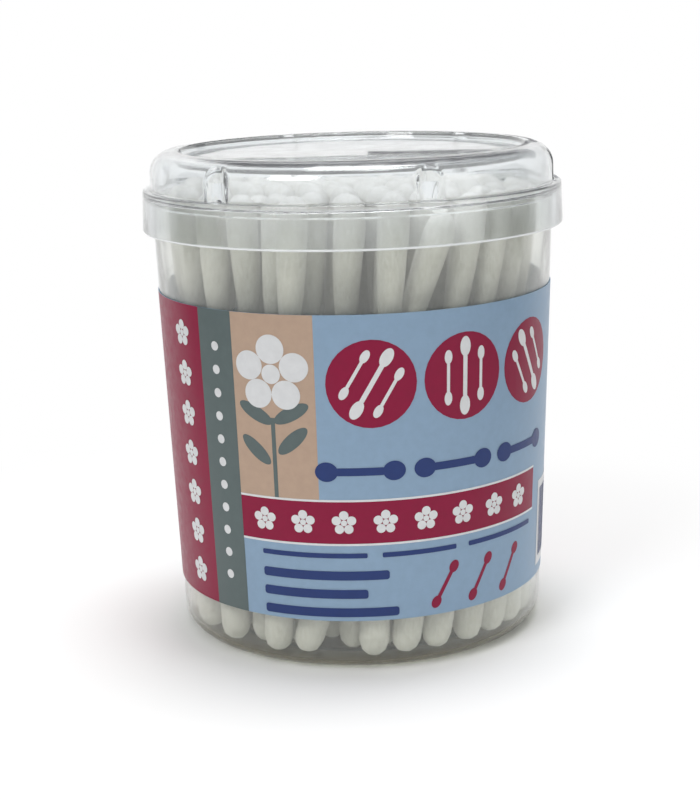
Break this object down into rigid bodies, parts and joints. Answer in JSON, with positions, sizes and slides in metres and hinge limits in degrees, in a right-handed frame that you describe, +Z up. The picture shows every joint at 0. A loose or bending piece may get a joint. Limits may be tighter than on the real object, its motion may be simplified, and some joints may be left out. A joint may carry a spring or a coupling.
{
  "type": "cotton swab tub",
  "caption": "Round clear plastic tub of cotton swabs with a printed wrap-round label and a fluted lift-off lid.",
  "frame": {"origin": "centre of the foot, on the surface that the tub stands on", "axes": "+Z up along the tub's axis, -Y towards the front of the label"},
  "size_m": [0.0706, 0.0706, 0.0815],
  "materials": {
    "clear_plastic": "clear, glossy, injection moulded",
    "label_film": "printed film with a soft gloss",
    "swab_stick": "white extruded plastic, satin",
    "cotton": "wound cotton fibre"
  },
  "bodies": {
    "tub": {"tub": "clear_plastic", "label": "label_film", "outer_row_sticks": "swab_stick", "outer_row_lower_tips": "cotton", "outer_row_upper_tips": "cotton", "second_row_sticks": "swab_stick", "second_row_lower_tips": "cotton", "second_row_upper_tips": "cotton", "third_row_sticks": "swab_stick", "third_row_lower_tips": "cotton", "third_row_upper_tips": "cotton", "fourth_row_sticks": "swab_stick", "fourth_row_lower_tips": "cotton", "fourth_row_upper_tips": "cotton", "fifth_row_sticks": "swab_stick", "fifth_row_lower_tips": "cotton", "fifth_row_upper_tips": "cotton", "middle_row_sticks": "swab_stick", "middle_row_lower_tips": "cotton", "middle_row_upper_tips": "cotton"},
    "lid": {"lid": "clear_plastic"}
  },
  "joints": [
    {"name": "lid_lift", "type": "slide", "parent": "tub", "child": "lid", "axis": [0, 0, 1], "range_m": [0, 0.04]}
  ]
}
